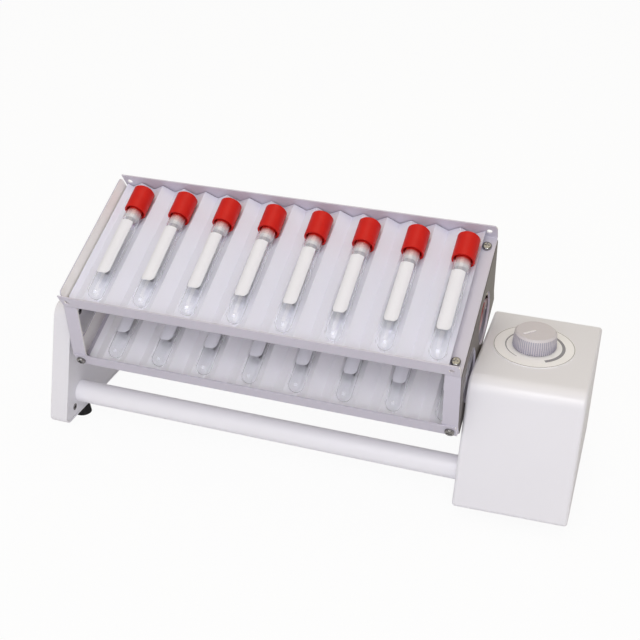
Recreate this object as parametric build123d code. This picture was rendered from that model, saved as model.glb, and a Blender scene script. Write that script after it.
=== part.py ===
"""Tube rotator: a two-tier tray rocker for sample tubes, carried between an end bracket and a drive box.

Machine frame while modelling, in millimetres: +X runs along the machine from the bracket to the drive box,
+Y to the back, +Z up, floor at Z = 0.  At the end everything moves so that the origin is the bottom centre
of the whole machine's bounding box.  The rocking assembly is built in its own axes (x, v, w): v from the
front to the back of a tray along its floor, w square to the floor, with the rocking axis at v = w = 0.
"""
from build123d import *
from math import acos, atan, cos, degrees, hypot, pi, radians, sin, sqrt, tan
import os

# ---- driving dimensions ---------------------------------------------------------------------------------
foot_height = 10.0
foot_base_radius = 6.9
foot_top_radius = 5.6
foot_stem_radius = 2.5
foot_stem_length = 2.0

pivot_y = 69.2                # rocking axis
pivot_z = 87.6
rest_tilt = 26.0              # slope of the tray floors at rest, fronts low

lower_tray_length = 304.5
upper_tray_overlap = 1.1      # how far the upper tray reaches beyond the lower one, over each end plate
tray_wall_height = 13.0       # from the underside of the floor
tray_sheet = 1.0
tray_end_flare = 1.9          # the left end wall leans out by this much at its top edge
tray_bend_radius = 1.8
tray_corner_gap = 2.4         # relief between the end wall and the long walls, upper tray
tray_corner_round = 3.0
tray_hole_inset = 4.8         # screw holes, from the ends of the lower tray
tray_floor_hole_inset = 11.0  # floor screw holes, from the front and the back
tray_wall_hole_height = 6.8
screw_radius = 1.9            # tray screws
screw_length = 6.0
screw_nut_flats = 7.0
screw_nut_height = 2.8
stack_rise = 54.9             # lower tray to upper tray, square to the floors
stack_shift = 15.7            # lower tray to upper tray, along the floors
floor_above_pivot = 1.2

groove_pitch = 18.71
ridge_height = 7.9            # top of a ridge above the underside of the tray floor
insert_sheet = 0.9            # measured square to the floor
upper_ridge_x = 17.1          # first ridge of each insert
lower_insert_slip = 5.6       # the lower insert lies this much further right

tube_radius = 6.5
tube_wall = 1.0
tube_length = 100.0
stopper_radius = 8.5
stopper_length = 21.5
stopper_overhang = 6.0        # beyond the open end of the tube
stopper_skirt_wall = 1.3
stopper_plug_length = 23.5
label_length = 51.5
label_start = 20.5            # from the tip of the tube
label_thickness = 0.15
label_wrap = 250.0            # degrees round the tube
label_turn = 73.0             # its middle lies this far to the left of the tube's top
tube_tip_gap = 4.3            # from the front wall to the tip of each tube
tube_back_gap = 12.9          # from each stopper to the back wall

plate_sheet = 1.5             # end plates
plate_flange = 12.0
plate_bend_radius = 1.6
plate_window_radius = 20.0
plate_window_spread = 25.4    # window centres each side of the rocking axis, along the floor
plate_window_height = 26.5    # above the rocking axis
hub_radius = 13.0
hub_bolt_circle = 9.5
hub_thickness = 2.2
hub_screw_radius = 1.25

shaft_radius = 4.0
shoulder_radius = 6.0
bush_radius = 6.5
bush_flange_radius = 8.5
bush_flange = 1.5
bush_length = 8.0

bracket_inner_x = -6.8
bracket_width = 15.5
bracket_front_y = -5.2
bracket_top_z = 105.3
bracket_wall = 2.6
bracket_rim = 1.6
bracket_bottom_round = 5.0
cover_sheet = 2.5
cover_screw_inset = 13.5

side_lean = 0.297             # the front faces lean back by this much per millimetre of height
back_y = 129.0
brow_round = 14.0             # bend between front and top

box_side_gap = 0.9            # from the right end plate to the drive box
box_width = 82.2
box_draft = 3.0               # the hood's left side reaches this much further forward
box_front_y = -0.3
box_top_z = 104.3
box_wall = 3.0
box_edge_round = 2.5
box_bottom_round = 3.0
base_sheet = 2.0
base_screw_radius = 1.5
base_boss_radius = 3.6
base_boss_height = 14.0
base_boss_web = 3.0
base_screw_grip = 8.0         # into its boss
base_screw_inset = 5.0        # from the base plate's edges
base_front_inset = 7.0
foot_front_y = 31.0
foot_back_inset = 18.0
foot_side_inset = 16.0

rod_y = 21.9
rod_z = 27.7
rod_radius = 9.0
rod_wall = 1.5
rod_plug_length = 16.0
rod_screw_radius = 2.5

gear_module = 1.0
sector_teeth = 62
pinion_teeth = 18
gear_face = 6.0
stroke = 30.0                 # the trays rock this far each way from level
sector_half_angle = 38.0      # each side of the tooth that meshes when the trays are level
pinion_extra = 3.0
motor_shaft_radius = 3.0
gearbox_radius = 18.5
gearbox_length = 20.0
motor_radius = 16.5
motor_length = 25.0
motor_screw_circle = 14.0
drive_plate = 3.0
drive_side_gap = 3.0          # from the box's left wall to the bracket's first upright
drive_span = 14.0             # between the two uprights
drive_depth = 46.0
drive_foot = 12.0
drive_screw_inset = 7.0
chassis_screw_radius = 1.5
chassis_screw_length = 6.0

board_length = 36.0
board_depth = 64.0
board_side_gap = 2.5          # to the inside of the box
board_sheet = 1.6
board_lift = 6.0
standoff_radius = 2.8
board_hole_inset = 4.5

knob_inset = 37.2             # from the box's left side
knob_y = 82.4
knob_radius = 16.2
knob_top_radius = 15.3
knob_height = 12.0
knob_gap = 1.0
knob_chamfer = 1.4
knob_rib_count = 60
knob_rib_radius = 0.5
knob_pointer_length = 11.0
knob_pointer_width = 1.7
knob_pointer_rise = 0.5
knob_pointer_angle = 223.0    # degrees, anticlockwise from +X seen from above
dial_radius = 30.0
dial_sheet = 0.5
pot_body_radius = 8.5
pot_body_length = 9.0
pot_bush_radius = 3.5
pot_shaft_radius = 2.5
pot_nut_flats = 10.0
pot_nut_height = 2.0

inlet_inset = 60.0            # from the box's left side
inlet_z = 34.0
inlet_radius = 5.5
inlet_flange_radius = 7.5
inlet_depth = 14.0
switch_inset = 26.0           # from the box's left side
switch_z = 36.0
switch_width = 19.0
switch_height = 12.5
switch_depth = 14.0
switch_frame = 1.8
rocker_tilt = 10.0
trunnion_radius = 1.0
trunnion_length = 1.2

# ---- clearances -----------------------------------------------------------------------------------------
seat_gap = 0.05               # parts of one assembly that lie on each other
run_gap = 0.05                # radial, shaft in bush
free_gap = 0.30               # moving past each other
hole_gap = 0.20               # radial, screw in its hole
tray_end_gap = 0.20           # end plate to the lower tray's ends

# ---- worked out from the above --------------------------------------------------------------------------
tray_depth = 2 * tray_sheet + tube_tip_gap + tube_length + stopper_overhang + tube_back_gap
plate_left_x = -0.8
tray_left_x = plate_left_x + plate_sheet + tray_end_gap
tray_right_x = tray_left_x + lower_tray_length
plate_right_x = tray_right_x + tray_end_gap
bracket_outer_x = bracket_inner_x - bracket_width
box_left_x = plate_right_x + plate_sheet + box_side_gap
box_right_x = box_left_x + box_width
drive_inner_x = box_left_x + box_wall + drive_side_gap
knob_x = box_left_x + knob_inset
inlet_x = box_left_x + inlet_inset
switch_x = box_left_x + switch_inset
lower_v = -tray_depth / 2
lower_w = floor_above_pivot
upper_v = lower_v + stack_shift
upper_w = lower_w + stack_rise
valley_height = tray_sheet + seat_gap + insert_sheet
ridge_count = 1 + int((tray_right_x - upper_ridge_x - lower_insert_slip) / groove_pitch)
tube_count = ridge_count // 2
# the lower tray's end wall also leaves room for the end plate's nuts
lower_corner_gap = 2 * seat_gap + plate_sheet + screw_nut_height + free_gap
groove_slope = atan((ridge_height - valley_height) / (groove_pitch / 2))
gear_distance = gear_module * (sector_teeth + pinion_teeth) / 2
pinion_z = pivot_z - gear_distance


def box_between(x0, x1, y0, y1, z0, z1):
    """A block between two corners."""
    return Pos((x0 + x1) / 2, (y0 + y1) / 2, (z0 + z1) / 2) * Box(x1 - x0, y1 - y0, z1 - z0)


def rod_x(x0, x1, y, z, radius):
    """A round bar along X."""
    return Pos((x0 + x1) / 2, y, z) * Rot(0, 90, 0) * Cylinder(radius, x1 - x0)


def rod_z_between(x, y, z0, z1, radius):
    """A round bar along Z."""
    return Pos(x, y, (z0 + z1) / 2) * Cylinder(radius, z1 - z0)


def slab_x(face_yz, x0, x1):
    """A flat outline drawn with (across, up) = (Y, Z), made into a slab between two X stations."""
    return Pos(x0, 0, 0) * extrude(Plane.YZ * face_yz, x1 - x0)


def pan_screw(radius, length, head_radius=None, head_height=None):
    """A pan-head screw pointing down -Z, its head's seat at Z = 0, with a cross recess."""
    head_r = head_radius or radius * 1.9
    head_h = head_height or radius * 1.2
    head = Cylinder(head_r, head_h, align=(Align.CENTER, Align.CENTER, Align.MIN))
    head = fillet(head.edges().group_by(Axis.Z)[-1], head_h * 0.45)
    shank = Cylinder(radius, length, align=(Align.CENTER, Align.CENTER, Align.MAX))
    slot = Box(head_r * 1.1, head_r * 0.28, head_h)
    cross = Pos(0, 0, head_h * 1.05) * (slot + Rot(0, 0, 90) * slot)
    return head + shank - cross


def flat_screw(radius, length):
    """A countersunk screw pointing down -Z, the top of its head at Z = 0."""
    head_r = radius * 1.9
    head_h = head_r - radius
    head = Pos(0, 0, -head_h) * Cone(radius, head_r, head_h, align=(Align.CENTER, Align.CENTER, Align.MIN))
    shank = Cylinder(radius, length, align=(Align.CENTER, Align.CENTER, Align.MAX))
    slot = Box(head_r * 1.1, head_r * 0.28, head_h)
    return head + shank - slot - Rot(0, 0, 90) * slot


def hex_nut(flats, bore, height):
    """A nut standing on Z = 0."""
    outline = RegularPolygon(flats / 2, 6, major_radius=False) - Circle(bore)
    return extrude(outline, height)


def in_rotor(shape):
    """From the rocking assembly's own axes to the machine frame."""
    return Pos(0, pivot_y, pivot_z) * Rot(rest_tilt, 0, 0) * shape


def on_upper(shape):
    return in_rotor(Pos(0, upper_v, upper_w) * shape)


def on_lower(shape):
    return in_rotor(Pos(0, lower_v, lower_w) * shape)


parts = {}


# ---- trays ----------------------------------------------------------------------------------------------
wall_screw_x = (tray_left_x + tray_hole_inset, tray_right_x - tray_hole_inset)
# the left floor screws stand under the first ridge of the insert, where their heads have room
floor_screw_x = (upper_ridge_x, tray_right_x - tray_hole_inset)


def tray(left_x, right_x, corner_gap):
    """A folded sheet pan: floor, front and back walls, a flared left end wall and an open right end."""
    section = Rectangle(tray_depth, tray_wall_height, align=(Align.MIN, Align.MIN))
    section = fillet(section.vertices().group_by(Axis.Y)[0], tray_bend_radius)
    hollow = Pos(tray_sheet, tray_sheet) * Rectangle(
        tray_depth - 2 * tray_sheet, tray_wall_height, align=(Align.MIN, Align.MIN))
    hollow = fillet(hollow.vertices().group_by(Axis.Y)[0], tray_bend_radius - tray_sheet)
    pan = slab_x(section - hollow, left_x, right_x)
    walls_top = pan.edges().filter_by(Axis.Y).group_by(Axis.Z)[-1].group_by(Axis.X)[-1]
    pan = fillet(walls_top, tray_corner_round)
    # the long walls end on the same slant as the flared end wall
    slant = tray_end_flare
    lead = Polyline((left_x - 1, -1), (left_x + slant, -1), (left_x + slant, 0),
                    (left_x, tray_wall_height), (left_x - 1, tray_wall_height + 1), close=True)
    cutter = extrude(Plane.XZ.offset(1) * make_face(lead), -(tray_depth + 2))
    pan -= cutter
    # end wall, with relief gaps to the long walls
    base_x = left_x + slant
    end = Polyline((base_x, 0), (left_x, tray_wall_height),
                   (left_x + tray_sheet, tray_wall_height), (base_x + tray_sheet, tray_sheet),
                   (base_x + tray_sheet * 2, tray_sheet), (base_x + tray_sheet * 2, 0), close=True)
    end_depth = tray_depth - 2 * (tray_sheet + corner_gap)
    wall = extrude(Plane.XZ.offset(-(tray_sheet + corner_gap)) * make_face(end), -end_depth)
    wall = fillet(wall.edges().group_by(Axis.Z)[-1].filter_by(Axis.X), tray_corner_round)
    for v in (tray_sheet, tray_depth - tray_sheet - corner_gap):
        pan -= box_between(left_x - 1, base_x + 3, v, v + corner_gap, -1, tray_bend_radius + tray_sheet)
    pan += wall
    for x in floor_screw_x:
        for v in (tray_floor_hole_inset, tray_depth - tray_floor_hole_inset):
            pan -= rod_z_between(x, v, -1, tray_sheet + 1, screw_radius + hole_gap)
    for x in wall_screw_x:
        pan -= Pos(x, tray_depth / 2, tray_wall_hole_height) * Rot(90, 0, 0) * Cylinder(
            screw_radius + hole_gap, tray_depth + 2)
    return pan


parts["upper_tray"] = on_upper(tray(tray_left_x - upper_tray_overlap, tray_right_x + upper_tray_overlap,
                                    tray_corner_gap))
parts["lower_tray"] = on_lower(tray(tray_left_x, tray_right_x, lower_corner_gap))


# ---- grooved inserts ------------------------------------------------------------------------------------
def insert(first_ridge_x):
    """A folded zigzag sheet lying on a tray floor, ending at the right on its last ridge."""
    half = groove_pitch / 2
    top = [(first_ridge_x - half - half * 0.45, valley_height + (ridge_height - valley_height) * 0.45),
           (first_ridge_x - half, valley_height)]
    for i in range(ridge_count):
        top.append((first_ridge_x + i * groove_pitch, ridge_height))
        if i < ridge_count - 1:
            top.append((first_ridge_x + (i + 0.5) * groove_pitch, valley_height))
    bottom = [(x, z - insert_sheet) for x, z in reversed(top)]
    profile = make_face(Polyline(*top, *bottom, close=True))
    margin = tray_bend_radius + seat_gap
    return extrude(Plane.XZ.offset(-margin) * profile, -(tray_depth - 2 * margin))


def flange_notches():
    """Blocks round the end plates' flanges, their screws and nuts in the corners of the lower tray."""
    deep = screw_length + free_gap
    for x0, x1 in ((plate_left_x, plate_left_x + plate_flange + free_gap),
                   (plate_right_x + plate_sheet - plate_flange - free_gap, plate_right_x)):
        for v0 in (0, tray_depth - deep):
            yield box_between(x0, x1, v0, v0 + deep, 0, tray_wall_height)


parts["upper_insert"] = on_upper(insert(upper_ridge_x))
lower_insert = insert(upper_ridge_x + lower_insert_slip)
for notch in flange_notches():
    lower_insert -= notch
parts["lower_insert"] = on_lower(lower_insert)


# ---- sample tubes ---------------------------------------------------------------------------------------
def tube_glass():
    """A round-bottomed tube along +Y, its tip at the origin."""
    inner = tube_radius - tube_wall
    outline = (Line((0, 0), (0, tube_wall))
               + ThreePointArc((0, tube_wall), (inner * sin(pi / 4), tube_radius - inner * cos(pi / 4)),
                               (inner, tube_radius))
               + Line((inner, tube_radius), (inner, tube_length))
               + Line((inner, tube_length), (tube_radius, tube_length))
               + Line((tube_radius, tube_length), (tube_radius, tube_radius))
               + ThreePointArc((tube_radius, tube_radius),
                               (tube_radius * sin(pi / 4), tube_radius * (1 - cos(pi / 4))), (0, 0)))
    return revolve(make_face(outline), Axis.Y)


def stopper():
    """A stopper with a skirt over the tube's mouth and a plug inside it, in the tube's axes."""
    top = tube_length + stopper_overhang
    skirt_end = top - stopper_length
    skirt_inner = stopper_radius - stopper_skirt_wall
    plug = tube_radius - tube_wall - seat_gap
    rim = tube_length + seat_gap
    outline = Polyline((0, tube_length - stopper_plug_length), (plug - 1, tube_length - stopper_plug_length),
                       (plug, tube_length - stopper_plug_length + 1.5), (plug, rim), (skirt_inner, rim),
                       (skirt_inner, skirt_end), (stopper_radius, skirt_end), (stopper_radius, top - 1.2),
                       (stopper_radius - 1.2, top), (stopper_radius - 3, top),
                       (stopper_radius - 3.6, top - 1), (0, top - 1), close=True)
    return revolve(make_face(outline), Axis.Y)


def label():
    """A paper label part of the way round a tube, in the tube's axes."""
    inner = tube_radius + seat_gap / 2
    ring = Circle(inner + label_thickness) - Circle(inner)
    half = radians(label_wrap / 2)
    reach = tube_radius * 3
    opening = make_face(Polyline((0, 0), (-reach * sin(half), reach * cos(half)), (-reach, -reach),
                                 (reach, -reach), (reach * sin(half), reach * cos(half)), close=True))
    return Rot(0, -label_turn, 0) * extrude(Plane.XZ.offset(-label_start) * (ring - opening), -label_length)


def tube_places(first_ridge_x):
    """Where each tube lies: in every second groove, tip to the front, its stopper lifting the back."""
    front_axis = valley_height + (tube_radius + free_gap / 2) / cos(groove_slope)
    back_axis = valley_height + (stopper_radius + free_gap / 2) / cos(groove_slope)
    run = tube_length + stopper_overhang - stopper_length - tube_radius
    rise = degrees(atan((back_axis - front_axis) / run))
    tip_w = front_axis - tube_radius * tan(radians(rise))
    for i in range(tube_count):
        x = first_ridge_x + (0.5 + 2 * i) * groove_pitch
        yield Pos(x, tray_sheet + tube_tip_gap, tip_w) * Rot(rise, 0, 0)


rows = {"upper": (on_upper, upper_ridge_x), "lower": (on_lower, upper_ridge_x + lower_insert_slip)}
glass = tube_glass()
cap = stopper()
paper = label()
labels = []
for row, (place_on, ridge_x) in rows.items():
    caps = []
    for number, place in enumerate(tube_places(ridge_x), start=1):
        parts[f"{row}_tube_{number}"] = place_on(place * glass)
        caps.append(place_on(place * cap))
        labels.append(place_on(place * paper))
    parts[f"{row}_stoppers"] = Compound(children=caps)
parts["tube_labels"] = Compound(children=labels)


# ---- end plates -----------------------------------------------------------------------------------------
def plate_outline():
    """The end plate seen from the side, in (v, w): short upright tabs, then a slanted frame."""
    inset = tray_sheet + seat_gap
    floor = lower_w + tray_sheet + seat_gap
    tab_top = lower_w + tray_wall_height
    front = lower_v + inset
    back = lower_v + tray_depth - inset
    shift = upper_v - lower_v
    roof = upper_w - seat_gap
    frame = make_face(Polyline((front, floor), (front, tab_top), (front + shift, roof), (back + shift, roof),
                               (back, tab_top), (back, floor), close=True))
    return fillet(frame.vertices().group_by(Axis.Y)[0], tray_bend_radius)


def end_plate(outer_x, side):
    """A folded end plate: web, flanges turned inwards along its front, back and top, and a hub ear below."""
    frame = plate_outline()
    inner_x = outer_x + side * plate_sheet
    flange_x = outer_x + side * plate_flange
    x0, x1 = sorted((outer_x, flange_x))
    shell = slab_x(frame, x0, x1)
    bends = shell.edges().group_by(Axis.X)[0 if side > 0 else -1].filter_by(
        lambda e: e.center().Z > lower_w + tray_sheet + 1)
    shell = fillet(bends, plate_bend_radius)
    inner = offset(frame, -plate_sheet, kind=Kind.INTERSECTION)
    deep = inner + Pos(0, -plate_sheet * 3) * inner
    c0, c1 = sorted((inner_x, flange_x + side))
    shell -= slab_x(deep, c0, c1)
    ear_top = lower_w + tray_sheet + seat_gap + plate_sheet * 3
    ear = Circle(hub_radius + 1.5) + Pos(0, ear_top / 2) * Rectangle(2 * hub_radius + 3, ear_top)
    w0, w1 = sorted((outer_x, inner_x))
    web = slab_x(ear, w0, w1)
    # the ear passes outside the lower tray's floor
    shell += web
    for v in (-plate_window_spread, plate_window_spread):
        shell -= rod_x(w0 - 1, w1 + 1, v, plate_window_height, plate_window_radius)
    shell -= rod_x(w0 - 1, w1 + 1, 0, 0, shaft_radius + hole_gap)
    for v, w in hub_bolts():
        shell -= rod_x(w0 - 1, w1 + 1, v, w, hub_screw_radius + hole_gap)
    end = 0 if side > 0 else 1
    # the top flange reaches past its floor screws
    ledge_x = floor_screw_x[end] + side * (screw_nut_flats / 2 + 1)
    shell += box_between(*sorted((inner_x, ledge_x)), upper_v + plate_flange / 2,
                         upper_v + tray_depth - plate_flange / 2, upper_w - seat_gap - plate_sheet,
                         upper_w - seat_gap)
    for v in (tray_floor_hole_inset, tray_depth - tray_floor_hole_inset):
        shell -= rod_z_between(floor_screw_x[end], upper_v + v, upper_w - plate_sheet - 1, upper_w + 1,
                               screw_radius + hole_gap)
    wall_w = lower_w + tray_wall_hole_height
    wall_hole = Cylinder(screw_radius + hole_gap, tray_depth + 4)
    shell -= Pos(wall_screw_x[end], 0, wall_w) * Rot(90, 0, 0) * wall_hole
    return shell


def hub_bolts():
    """The three hub screws, as (v, w) round the rocking axis, below the tray floor and beside it."""
    for angle in (210, 270, 330):
        yield hub_bolt_circle * cos(radians(angle)), hub_bolt_circle * sin(radians(angle))


parts["left_end_plate"] = in_rotor(end_plate(plate_left_x, 1))
parts["right_end_plate"] = in_rotor(end_plate(plate_right_x + plate_sheet, -1))


# ---- tray screws and nuts -------------------------------------------------------------------------------
def tray_fixings():
    """Screws and nuts in the rocking axes: through the upper floor, and through the lower walls."""
    screws, nuts = [], []
    screw = pan_screw(screw_radius, screw_length)
    nut = hex_nut(screw_nut_flats, screw_radius + seat_gap, screw_nut_height)
    floor_top = upper_w + tray_sheet + seat_gap
    plate_under = upper_w - seat_gap * 2 - plate_sheet
    for x in floor_screw_x:
        for v in (tray_floor_hole_inset, tray_depth - tray_floor_hole_inset):
            screws.append(Pos(x, upper_v + v, floor_top) * screw)
            nuts.append(Pos(x, upper_v + v, plate_under - screw_nut_height) * nut)
    wall_w = lower_w + tray_wall_hole_height
    inner = tray_sheet + seat_gap * 2 + plate_sheet
    for x in wall_screw_x:
        screws.append(Pos(x, lower_v - seat_gap, wall_w) * Rot(90, 0, 0) * screw)
        nuts.append(Pos(x, lower_v + inner + screw_nut_height, wall_w) * Rot(90, 0, 0) * nut)
        screws.append(Pos(x, -lower_v + seat_gap, wall_w) * Rot(-90, 0, 0) * screw)
        nuts.append(Pos(x, -lower_v - inner - screw_nut_height, wall_w) * Rot(-90, 0, 0) * nut)
    return screws, nuts


tray_screws, tray_nuts = tray_fixings()
parts["tray_screws"] = Compound(children=[in_rotor(s) for s in tray_screws])
parts["tray_nuts"] = Compound(children=[in_rotor(n) for n in tray_nuts])


# ---- shafts and hub screws ------------------------------------------------------------------------------
def stub_shaft(face_x, side, shoulder_end, shaft_end):
    """A turned stub shaft: hub flange on the end plate, shoulder, and journal. side points away from it."""
    def span(a, b, radius):
        lo, hi = sorted((a, b))
        return rod_x(lo, hi, 0, 0, radius)
    flange_end = face_x + side * hub_thickness
    shaft = span(face_x, flange_end, hub_radius)
    shaft += span(flange_end, shoulder_end, shoulder_radius)
    shaft += span(shoulder_end, shaft_end, shaft_radius)
    shaft += span(face_x - side * (plate_sheet * 0.8), face_x, shaft_radius)
    for v, w in hub_bolts():
        lo, hi = sorted((face_x - side, flange_end + side))
        shaft -= rod_x(lo, hi, v, w, hub_screw_radius)
    return shaft


left_hub_x = plate_left_x - seat_gap
right_hub_x = plate_right_x + plate_sheet + seat_gap
left_bush_face = bracket_inner_x + bush_flange
right_bush_face = drive_inner_x - bush_flange
parts["left_shaft"] = in_rotor(stub_shaft(
    left_hub_x, -1, left_bush_face + free_gap, bracket_inner_x - bush_length - 1.0))
sector_x = drive_inner_x + drive_plate + (drive_span - gear_face) / 2
far_upright_x = drive_inner_x + drive_plate + drive_span
parts["right_shaft"] = in_rotor(stub_shaft(
    right_hub_x, 1, right_bush_face - free_gap, far_upright_x + drive_plate + 1.0))
hub_screw = pan_screw(hub_screw_radius - seat_gap, plate_sheet + hub_thickness * 0.8,
                      head_height=1.3)
hub_screws = []
for v, w in hub_bolts():
    hub_screws.append(in_rotor(Pos(plate_left_x + plate_sheet + seat_gap, v, w) * Rot(0, 90, 0) * hub_screw))
    hub_screws.append(in_rotor(Pos(plate_right_x - seat_gap, v, w) * Rot(0, -90, 0) * hub_screw))
parts["hub_screws"] = Compound(children=hub_screws)


# ---- gears ----------------------------------------------------------------------------------------------
def involute_gear(teeth, face, phase, backlash=0.12):
    """A spur gear along X from X = 0. phase is the angle of a tooth's middle, anticlockwise from +Y."""
    pitch = gear_module * teeth / 2
    base = pitch * cos(radians(20))
    outer = pitch + gear_module
    root = pitch - 1.25 * gear_module
    roll = sqrt((pitch / base) ** 2 - 1)
    half = pi / (2 * teeth) - backlash / (2 * pitch) + (roll - acos(base / pitch))

    def flank(radius):
        """Half the tooth's angle at this radius."""
        if radius <= base:
            return half
        lift = sqrt((radius / base) ** 2 - 1)
        return half - (lift - acos(base / radius))

    def spot(radius, angle):
        return radius * cos(angle), radius * sin(angle)

    start = max(base, root)
    radii = [start + (outer - start) * k / 4 for k in range(5)]
    points = []
    for n in range(teeth):
        middle = radians(phase) + 2 * pi * n / teeth
        points.append(spot(root, middle - flank(start)))
        points += [spot(r, middle - flank(r)) for r in radii]
        points += [spot(r, middle + flank(r)) for r in reversed(radii)]
        points.append(spot(root, middle + flank(start)))
    clean = [points[0]]
    for p in points[1:]:
        if hypot(p[0] - clean[-1][0], p[1] - clean[-1][1]) > 1e-4:
            clean.append(p)
    return slab_x(make_face(Polyline(*clean, close=True)), 0, face)


def drive_sector():
    """The toothed sector on the right shaft, hanging towards the pinion, in machine axes about the pivot."""
    tooth = 360.0 / sector_teeth
    gear = involute_gear(sector_teeth, gear_face, 270 + tooth / 2)
    outer = gear_module * sector_teeth / 2 + 2
    mid = radians(270 + rest_tilt)
    a0 = mid - radians(sector_half_angle)
    a1 = mid + radians(sector_half_angle)
    reach = outer * 1.6
    rays = [(reach * cos(a), reach * sin(a)) for a in (a0, mid, a1)]
    wedge = make_face(Polyline((0, 0), *rays, close=True))
    keep = slab_x(wedge + Circle(shoulder_radius + 2), 0, gear_face)
    return gear & keep


sector = drive_sector() - rod_x(-1, gear_face + 1, 0, 0, shaft_radius + seat_gap / 2)
for turn in (-24, 24):
    angle = radians(270 + rest_tilt + turn)
    hole_r = 5.0
    ring = gear_module * sector_teeth / 2 - 12
    sector -= rod_x(-1, gear_face + 1, ring * cos(angle), ring * sin(angle), hole_r)
parts["drive_sector"] = Pos(sector_x, pivot_y, pivot_z) * sector

pinion_face = gear_face + pinion_extra
pinion_x = sector_x - pinion_extra / 2
pinion = involute_gear(pinion_teeth, pinion_face, 90)
pinion -= rod_x(-1, pinion_face + 1, 0, 0, motor_shaft_radius + seat_gap / 2)
parts["drive_pinion"] = Pos(pinion_x, pivot_y, pinion_z) * pinion
gearbox_x = far_upright_x + drive_plate + seat_gap
parts["motor_shaft"] = rod_x(pinion_x - 1, gearbox_x + 6, pivot_y, pinion_z, motor_shaft_radius)


# ---- bushes ---------------------------------------------------------------------------------------------
def bush(length):
    """A flanged bush along +X, the back of its flange at X = 0."""
    sleeve = rod_x(0, length, 0, 0, bush_radius) + rod_x(-bush_flange, 0, 0, 0, bush_flange_radius)
    return sleeve - rod_x(-bush_flange - 1, length + 1, 0, 0, shaft_radius + run_gap)


parts["left_bush"] = Pos(bracket_inner_x, pivot_y, pivot_z) * Rot(0, 180, 0) * bush(bush_length)
short_bush = bush(drive_plate + 1.5)
parts["drive_bushes"] = Compound(children=[
    Pos(drive_inner_x, pivot_y, pivot_z) * short_bush,
    Pos(far_upright_x, pivot_y, pivot_z) * short_bush])


# ---- left bracket ---------------------------------------------------------------------------------------
def side_profile(front_y, top_z, bottom_round):
    """The side outline shared by the bracket and the box: leaning front, level top, upright back."""
    top_front = front_y + side_lean * (top_z - foot_height)
    outline = make_face(Polyline((front_y, foot_height), (top_front, top_z), (back_y, top_z),
                                 (back_y, foot_height), close=True))
    corners = outline.vertices()
    brow = corners.sort_by_distance((top_front, top_z, 0))[0]
    outline = fillet([brow], brow_round)
    lows = outline.vertices().group_by(Axis.Y)[0]
    outline = fillet(lows, bottom_round)
    top_back = outline.vertices().sort_by_distance((back_y, top_z, 0))[0]
    return fillet([top_back], bottom_round)


bracket_profile = side_profile(bracket_front_y, bracket_top_z, bracket_bottom_round)
cover_outline = offset(bracket_profile, -bracket_rim)
bracket_cover_x = bracket_inner_x - cover_sheet - 0.2


def cover_screw_spots():
    """The four cover screws, as (y, z)."""
    low = foot_height + 8.6
    high = bracket_top_z - 10.5
    front_low = bracket_front_y + side_lean * (low - foot_height) + cover_screw_inset
    front_high = bracket_front_y + side_lean * (high - foot_height) + cover_screw_inset + 2
    return ((front_low, low), (front_high, high), (back_y - cover_screw_inset, high),
            (back_y - cover_screw_inset, low))


cover_screw_radius = 1.5
cover_screw_length = 8.0
boss_radius = 4.0


def bracket_shell():
    """A deep painted tray open to the inside, with a ledge for the cover and bosses for every fixing."""
    shell = slab_x(bracket_profile, bracket_outer_x, bracket_inner_x)
    rim_edges = shell.edges().group_by(Axis.X)[0]
    shell = fillet(rim_edges, 1.5)
    hollow = offset(bracket_profile, -bracket_wall)
    shell -= slab_x(hollow, bracket_outer_x + bracket_wall, bracket_inner_x + 1)
    shell -= slab_x(cover_outline, bracket_cover_x, bracket_inner_x + 1)
    floor_x = bracket_outer_x + bracket_wall
    for y, z in cover_screw_spots():
        shell += rod_x(floor_x - 0.5, bracket_cover_x - seat_gap, y, z, boss_radius)
        shell -= rod_x(floor_x + 1, bracket_cover_x + 1, y, z, cover_screw_radius + seat_gap / 2)
    shell += rod_x(floor_x - 0.5, bracket_cover_x - seat_gap, pivot_y, pivot_z, bush_radius + 4)
    shell -= rod_x(floor_x + 1.5, bracket_inner_x + 1, pivot_y, pivot_z, bush_radius + seat_gap / 2)
    shell += rod_x(floor_x - 0.5, bracket_cover_x - seat_gap, rod_y, rod_z, rod_radius)
    shell -= rod_x(bracket_outer_x + bracket_wall + 2, bracket_inner_x + 1, rod_y, rod_z,
                   rod_screw_radius + hole_gap)
    shell -= rod_x(floor_x - 0.6, floor_x + 2.9, rod_y, rod_z, rod_screw_radius * 1.9 + hole_gap)
    for y in foot_rows():
        shell += box_between(floor_x - 0.5, bracket_cover_x - seat_gap, y - 4, y + 4,
                             foot_height + bracket_wall - 0.2, foot_height + 5)
        shell -= rod_z_between(left_foot_x, y, foot_height - 1, foot_height + foot_stem_length + seat_gap,
                               foot_stem_radius + seat_gap / 2)
    return shell


left_foot_x = bracket_inner_x - 6.5


def foot_rows():
    """Y of the front and the back feet."""
    return (foot_front_y, back_y - foot_back_inset)


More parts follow.
